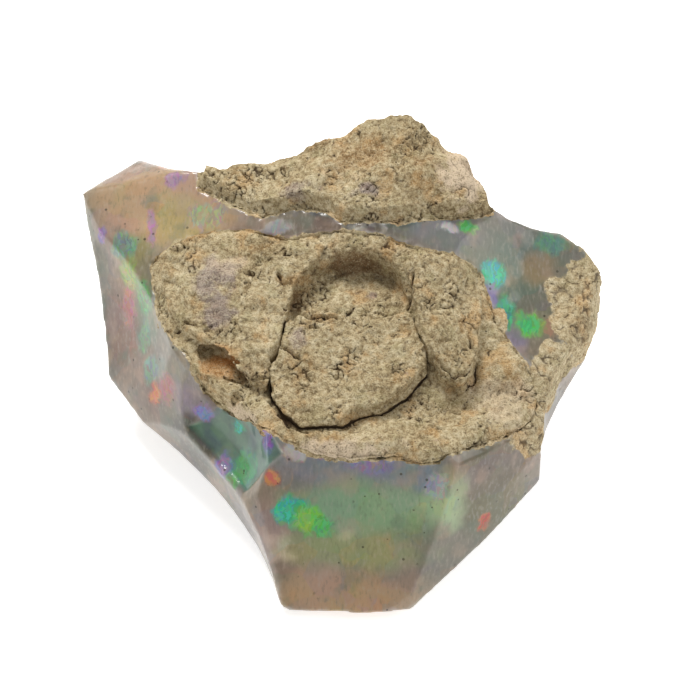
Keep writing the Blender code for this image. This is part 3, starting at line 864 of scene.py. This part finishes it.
# %% Lay the body's tints
BODY = paint(152, 140, 126)
BODY_TINTS = {
    "warm_tip": ((-15.5, 10.5, 17.0), (10.5, 8.0, 5.0), paint(220, 180, 142), 0.95),
    "tip_olive": ((-13.6, 7.6, 17.4), (5.0, 3.0, 3.0), paint(204, 182, 112), 0.85),
    "far_left_green": ((-22.0, 3.0, 8.0), (2.0, 5.0, 8.0), paint(88, 106, 78), 0.9),
    "left_yellow": ((-18.4, 5.6, 14.4), (2.4, 3.6, 3.4), paint(170, 156, 92), 0.75),
    "left_green": ((-17.0, 1.6, 12.0), (2.2, 3.6, 4.0), paint(120, 146, 112), 0.7),
    "left_pink": ((-19.6, 2.4, 9.6), (2.6, 4.6, 5.5), paint(162, 116, 100), 0.9),
    "hip_pink": ((-16.0, -2.6, 8.5), (4.4, 3.6, 5.0), paint(138, 114, 102), 0.9),
    "waist_grey": ((-12.8, -7.2, 6.2), (4.2, 3.6, 5.0), paint(98, 92, 86), 0.95),
    "front_blue_grey": ((-1.0, -13.4, 12.0), (11.0, 3.6, 3.4), paint(146, 152, 166), 0.95),
    "front_green": ((1.4, -16.0, 8.6), (9.5, 3.6, 3.2), paint(154, 194, 152), 0.95),
    "front_olive": ((0.4, -17.8, 5.4), (8.5, 3.2, 2.4), paint(176, 182, 128), 0.9),
    "front_brown": ((-0.4, -20.4, 2.2), (9.5, 4.0, 3.0), paint(214, 176, 142), 0.95),
    "right_front_pink": ((11.4, -13.6, 6.6), (4.6, 4.4, 5.0), paint(130, 124, 96), 0.9),
    "right_front_green": ((7.6, -15.2, 8.4), (2.6, 2.4, 4.0), paint(200, 226, 174), 0.85),
    "right_front_grey": ((10.8, -12.0, 11.0), (3.6, 3.0, 2.6), paint(124, 110, 96), 0.85),
    "front_sky": ((5.2, -14.0, 11.6), (3.4, 2.4, 2.4), paint(128, 158, 176), 0.7),
    "front_rose": ((-7.0, -16.8, 7.0), (2.6, 3.0, 5.0), paint(186, 150, 146), 0.6),
    "waist_rose": ((-13.4, -5.4, 10.0), (2.2, 1.6, 2.0), paint(176, 158, 186), 0.6),
    "hip_mint": ((-15.4, -3.0, 10.6), (2.0, 1.8, 1.8), paint(160, 176, 166), 0.6),
    "strip_grey": ((1.0, 4.6, 19.4), (12.5, 2.8, 3.0), paint(114, 100, 92), 0.95),
    "strip_blue_grey": ((7.4, 4.6, 19.6), (5.0, 2.8, 3.0), paint(156, 150, 158), 0.9),
    "right_top_dark": ((13.6, 2.4, 16.6), (6.6, 6.8, 4.0), paint(118, 132, 118), 0.97),
    "right_top_brown": ((15.9, 3.2, 16.4), (2.6, 2.4, 2.0), paint(178, 148, 110), 0.85),
    "right_top_violet": ((11.3, 0.4, 16.8), (1.0, 2.8, 2.4), paint(166, 152, 210), 0.85),
    "right_low_violet": ((13.6, -3.8, 14.6), (1.5, 2.8, 2.0), paint(158, 146, 182), 0.85),
}

opal = Finish("precious_opal")
wander = opal.wander(2.6, 1.2, 2)
body = BODY
for centre, radii, tint, strength in BODY_TINTS.values():
    body = opal.blend(opal.step(opal.patch(centre, radii, wander), 0.0, 0.6, strength), body, tint)
print(len(BODY_TINTS), "body tints laid")

# %% [markdown]
# ## Silk, clouds, the chip and the edges
# Inside each face the opal is drawn out into fine silky streaks, with warm and cool clouds behind them.
# Streaks come from a noise whose place is squeezed one way.  The chip is darker and bluer than the faces
# round it, and the edges get a pale painted highlight: both are mixed in by the numbers kept on the points,
# because only those know the shape.

# %% Streak and cloud the body
SILK_TURN = (0.5, 0.3, 0.2)
SILK_SQUEEZE = (2.2, 0.8, 0.9)
SILK_PALE = paint(214, 204, 190)
SILK_DARK = paint(104, 98, 88)
CLOUD_WARM = paint(206, 176, 150)
CLOUD_COOL = paint(112, 130, 116)
CHIP_DARK = paint(88, 124, 122)
CHIP_GREEN = paint(118, 164, 142)
EDGE_HIGHLIGHT = paint(226, 214, 206)

silk = opal.mottle(0.5, 8, opal.stretch(opal.place, SILK_TURN, SILK_SQUEEZE))
clouds = opal.mottle(2.2, 5)
body = opal.blend(opal.step(silk, 0.5, 0.72, 0.3), body, SILK_PALE)
body = opal.blend(opal.step(silk, 0.46, 0.3, 0.3), body, SILK_DARK)
body = opal.blend(opal.step(clouds, 0.52, 0.7, 0.4), body, CLOUD_WARM)
body = opal.blend(opal.step(clouds, 0.46, 0.3, 0.4), body, CLOUD_COOL)
chip_tint = opal.ramp(opal.mottle(1.6, 5), [(0.38, CHIP_DARK), (0.6, CHIP_GREEN)])
body = opal.blend(opal.times(opal.point_number("chip"), 0.85), body, chip_tint)
# Painted highlight: pale along the edges, where thin opal lets light through.
edge_highlight_share = opal.times(opal.point_number("edge"), opal.step(opal.mottle(0.9, 4), 0.35, 0.6, 0.6))
body = opal.blend(edge_highlight_share, body, EDGE_HIGHLIGHT)
print("body streaked:", len(opal.tree.nodes), "nodes so far")

# %% [markdown]
# ## Faint fire
# Between its bright flashes a precious opal shimmers faintly in every hue.  It comes from small regions of
# stacked silica balls, each of which throws back one colour.  Voronoi cells are such regions: each cell
# takes one hue from a strip.  Two sizes of cell are laid over the body with soft blends, so that the hue
# changes and the light and dark of the body stay.

# %% Shimmer between the flashes
HUES = [
    (0.0, paint(150, 120, 200)),
    (0.2, paint(110, 150, 215)),
    (0.4, paint(70, 180, 160)),
    (0.6, paint(140, 190, 110)),
    (0.8, paint(225, 175, 110)),
    (1.0, paint(220, 130, 130)),
]
large_fire = opal.ramp(opal.grains(3.4, "Color", wander), HUES)
small_fire = opal.ramp(opal.grains(1.2, "Color", wander), HUES)
colour = opal.blend(0.2, body, large_fire, "SOFT_LIGHT")
colour = opal.blend(opal.step(opal.mottle(3.0, 2), 0.5, 0.7, 0.25), colour, small_fire, "OVERLAY")
print(len(HUES), "hues in the shimmer")

# %% [markdown]
# ## The flashes
# The bright flashes are what opal is known for.  Each throws back one pure colour, strongest in its heart
# and shifting in hue towards its rim.  In the stone they move as it turns.  A material that turns with the
# eye can't be handed on to other programs, so each flash has a fixed place, a reach, a heart, a rim and a
# strength.  White glints, which are painted highlights of the glassy faces, and milky places are made in
# the same way.

# %% Name the flashes
VIOLET = paint(172, 132, 214)
DUSK = paint(158, 140, 190)
BLUE = paint(120, 140, 220)
TURQUOISE = paint(66, 214, 186)
TEAL = paint(48, 196, 160)
DULL_TEAL = paint(110, 170, 160)
GREEN = paint(86, 214, 120)
DULL_GREEN = paint(110, 180, 120)
MINT = paint(130, 190, 140)
LIME = paint(150, 226, 96)
YELLOW_GREEN = paint(184, 200, 110)
SAGE = paint(180, 196, 160)
MAUVE = paint(190, 170, 190)
ORANGE = paint(246, 150, 88)
BURNT = paint(170, 110, 80)
RED = paint(214, 96, 70)
ROSE = paint(210, 120, 130)
PINK = paint(222, 150, 150)
HIGHLIGHT_WHITE = paint(240, 238, 234)
PEACH = paint(214, 160, 130)
PALE_BLUE = paint(196, 204, 216)
PALE_GREY = paint(170, 172, 180)
FLASHES = {
    "tip_violet": ((-14.8, 11.6, 18.2), (1.1, 0.9, 1.2), VIOLET, VIOLET, 0.6),
    "tip_streak_high": ((-16.9, 8.4, 16.9), (0.5, 1.3, 0.9), VIOLET, PINK, 0.5),
    "tip_streak_low": ((-16.7, 7.0, 16.3), (0.5, 1.2, 0.9), VIOLET, PINK, 0.45),
    "tip_small": ((-21.2, 8.0, 15.3), (0.6, 0.7, 0.8), VIOLET, VIOLET, 0.7),
    "tip_pale": ((-12.0, 7.9, 17.8), (1.9, 1.4, 1.4), SAGE, MAUVE, 0.6),
    "side_teal": ((-19.1, 6.6, 15.5), (1.4, 1.3, 1.4), DULL_TEAL, TEAL, 0.7),
    "side_lime": ((-18.6, 4.6, 14.0), (1.0, 1.6, 1.4), YELLOW_GREEN, LIME, 0.75),
    "side_green": ((-17.3, 2.2, 13.8), (0.9, 2.2, 1.4), DULL_GREEN, GREEN, 0.75),
    "side_red": ((-18.8, 3.3, 11.4), (0.9, 1.5, 2.4), ROSE, PINK, 0.75),
    "side_green_low": ((-17.4, 0.4, 10.8), (0.7, 1.1, 2.0), MINT, TEAL, 0.5),
    "hip_teal": ((-16.9, -2.0, 9.4), (1.2, 1.2, 1.5), DULL_TEAL, TEAL, 0.6),
    "hip_orange": ((-16.5, -3.6, 8.0), (0.9, 0.8, 1.3), ORANGE, RED, 0.95),
    "hip_halo": ((-15.4, -4.3, 9.6), (1.5, 1.2, 1.7), ROSE, PINK, 0.7),
    "waist_blue": ((-12.0, -6.6, 9.6), (1.1, 0.8, 1.0), BLUE, VIOLET, 0.85),
    "edge_violet": ((-10.4, -10.2, 6.9), (0.9, 1.0, 1.6), VIOLET, BLUE, 0.75),
    "chip_turquoise": ((-9.4, -8.7, 10.4), (0.8, 0.8, 1.2), TURQUOISE, TEAL, 1.0),
    "chip_violet": ((-6.8, -11.4, 12.0), (0.8, 1.0, 1.4), VIOLET, BLUE, 0.9),
    "chip_green": ((-9.0, -11.2, 7.8), (1.9, 1.6, 2.0), GREEN, TEAL, 0.6),
    "chip_orange": ((-6.3, -13.8, 10.0), (0.7, 0.8, 1.0), ORANGE, BURNT, 0.8),
    "front_turquoise": ((-4.8, -15.6, 8.1), (1.5, 1.3, 1.5), TURQUOISE, TEAL, 1.0),
    "front_green": ((-3.4, -16.1, 7.4), (1.5, 1.2, 1.6), LIME, GREEN, 1.0),
    "front_green_side": ((-2.2, -16.4, 6.8), (0.9, 0.8, 1.2), GREEN, GREEN, 0.8),
    "front_violet": ((1.6, -13.8, 12.0), (2.2, 1.0, 1.2), DUSK, VIOLET, 0.55),
    "right_red": ((11.0, -14.9, 5.4), (0.8, 0.7, 0.9), RED, ORANGE, 0.9),
    "strip_green": ((9.7, 4.9, 19.4), (0.9, 0.8, 1.0), GREEN, LIME, 0.95),
    "top_teal": ((11.9, 1.9, 17.2), (1.2, 1.2, 1.4), TURQUOISE, TEAL, 1.0),
    "top_teal_low": ((12.9, -1.1, 15.7), (0.8, 1.6, 1.4), TEAL, GREEN, 0.8),
    "top_green": ((14.8, -1.7, 15.0), (1.4, 1.2, 1.4), GREEN, LIME, 0.95),
    "top_faint": ((16.8, 5.2, 17.3), (1.6, 1.0, 1.2), TEAL, TEAL, 0.4),
    "back_green": ((6.0, 14.0, 12.0), (2.6, 3.0, 1.8), GREEN, TEAL, 0.6),
    "back_teal": ((-3.5, 16.0, 9.0), (2.0, 3.0, 1.5), TURQUOISE, BLUE, 0.6),
    "back_violet": ((-11.0, 14.5, 11.0), (1.6, 3.0, 1.6), VIOLET, BLUE, 0.6),
    "back_orange": ((13.0, 9.0, 9.0), (1.4, 3.0, 1.4), ORANGE, ROSE, 0.6),
    "back_lime": ((0.5, 15.0, 4.5), (2.2, 3.0, 1.2), LIME, GREEN, 0.5),
    # Painted highlights: white glints on the glassy strip and along the lip.
    "glint_middle": ((2.2, 4.5, 19.5), (2.4, 1.1, 1.0), HIGHLIGHT_WHITE, HIGHLIGHT_WHITE, 0.9),
    "glint_right": ((8.0, 4.6, 19.7), (1.2, 0.6, 0.8), HIGHLIGHT_WHITE, PALE_BLUE, 0.9),
    "glint_left": ((-6.4, 5.4, 19.0), (1.8, 0.8, 1.0), PALE_BLUE, HIGHLIGHT_WHITE, 0.45),
    "lip_glint": ((-4.0, -12.9, 12.3), (2.2, 0.8, 0.8), HIGHLIGHT_WHITE, PEACH, 0.6),
    "milky_bluish": ((7.0, -15.0, 10.4), (1.2, 1.0, 1.6), PALE_BLUE, PALE_GREY, 0.55),
}
print(len(FLASHES), "flashes named")

# %% [markdown]
# ## Lighting the flashes
# A flash isn't a smooth glow: it breaks up into crumpled bits and fine sparks along the grain of the opal.
# So its place is crumpled by noise, a drawn-out noise eats into its edge, and little cells of their own
# colour are laid over it, which makes the hue sparkle.

# %% Light the flashes
GLOW_REACH = 1.35  # a glow reaches this much further than the flash's own radii, since its edge is eaten
STREAK_TURN = (0.4, 0.5, 0.7)
STREAK_SQUEEZE = (2.6, 0.6, 1.4)

crumpled = opal.wander(0.9, 0.7, 4)
stretched = opal.stretch(crumpled, STREAK_TURN, STREAK_SQUEEZE)
streaks = opal.mottle(1.0, 3, stretched)
eaten = opal.times(opal.less(streaks, 0.5), 0.9)
sparks = opal.grains(0.5, "Color", stretched)
for centre, radii, heart, rim, strength in FLASHES.values():
    glow = opal.patch(centre, tuple(GLOW_REACH * r for r in radii), crumpled)
    hue = opal.blend(opal.step(glow, 0.15, 0.65), rim, heart)
    hue = opal.blend(0.5, hue, sparks, "OVERLAY")
    broken = opal.step(opal.sum(glow, eaten), 0.0, 0.6)
    colour = opal.blend(opal.times(opal.step(glow, 0.0, 0.45, strength), broken), colour, hue)
print(len(FLASHES), "flashes lit")

# %% [markdown]
# ## Specks, gloss and murk
# Dark specks of clay sit in the surface, in a few areas only.  Under them the opal is glassy but cloudy.
# Clear glass would show the table through the stone, and plain paint would look like plastic.  So half of
# the light is let through, the rest is scattered at the skin and just under it, and a murk inside swallows
# light, so that thick places are darker and warmer than thin edges.  A thin coat gives the sharp gloss.

# %% Make the opal glassy and cloudy
CLAY = paint(46, 44, 34)
GLASS = {
    "Roughness": 0.35,
    "IOR": 1.45,
    "Specular IOR Level": 0.3,
    "Transmission Weight": 0.5,
    "Coat Weight": 0.5,
    "Coat Roughness": 0.06,
    "Coat IOR": 1.45,
    "Subsurface Weight": 0.3,
    "Subsurface Radius": (1, 1, 1),
    "Subsurface Scale": 1.0 * MM,
}
MURK = {"Color": (0.8, 0.68, 0.56), "Density": 120.0}  # it sets the light lost along each metre of opal

speckled_areas = opal.step(opal.mottle(3.0, 2), 0.48, 0.56)
specks = opal.times(opal.step(opal.grains(0.95), 0.15, 0.1), speckled_areas)
colour = opal.blend(opal.times(specks, 0.8), colour, CLAY)
opal.feed(opal.shader.inputs["Base Color"], colour)
for socket_name, value in GLASS.items():
    opal.shader.inputs[socket_name].default_value = value
opal.feed(opal.out.inputs["Volume"], opal.add("VolumeAbsorption", MURK))
faint_ripples = opal.mottle(1.6, 3, twist=0.6)
opal.feed(opal.shader.inputs["Normal"], opal.bump(faint_ripples, 0.08, 0.4))
print(f"opal lets {100 * GLASS['Transmission Weight']:.0f}% of the light through")

# %% [markdown]
# ## The crust's own finish
# The sandy crust is dull where the opal is glassy.  Its colour could be blended into the opal's, but it
# would then shine.  So it is a second shader, mixed in by the crust number kept on the points, with noise
# added so that the crust ends in grains and not in a blur.

# %% Mix the crust over the opal
CRUST_EDGE = (0.78, 0.98)  # crust number, with its noise, where the cover starts, and where it is full

# The crust's pits get painted shade from the number kept on the points.
crust_colour, crust_height = sand_colours(opal, opal.point_number("depth"))
dull = opal.add("BsdfPrincipled", {"Base Color": crust_colour, "Roughness": DULL}, 0)
opal.feed(dull.node.inputs["Normal"], opal.bump(crust_height, 0.12, 0.8))
grainy_crust = opal.sum(opal.point_number("crust"), opal.times(opal.mottle(0.5, 6), 0.9))
cover = opal.step(grainy_crust, *CRUST_EDGE)
skin = opal.add("MixShader", {0: cover, 1: opal.shader.outputs[0], 2: dull}, 0)
opal.feed(opal.out.inputs["Surface"], skin)
stone.data.materials.append(opal.material)
print(f"precious_opal: {len(opal.tree.nodes)} nodes")

# %% [markdown]
# ## Handing over
# Each dressed piece stands in for one imported solid, and they all belong to the one body, because nothing on
# a stone moves.

# %% Hand everything over
for piece, node_name in ((stone, "opal"), (basin, "basin_rock"), (plug, "loose_plug"), (ridge, "ridge_rock")):
    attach(piece, "root")
    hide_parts(node_name)
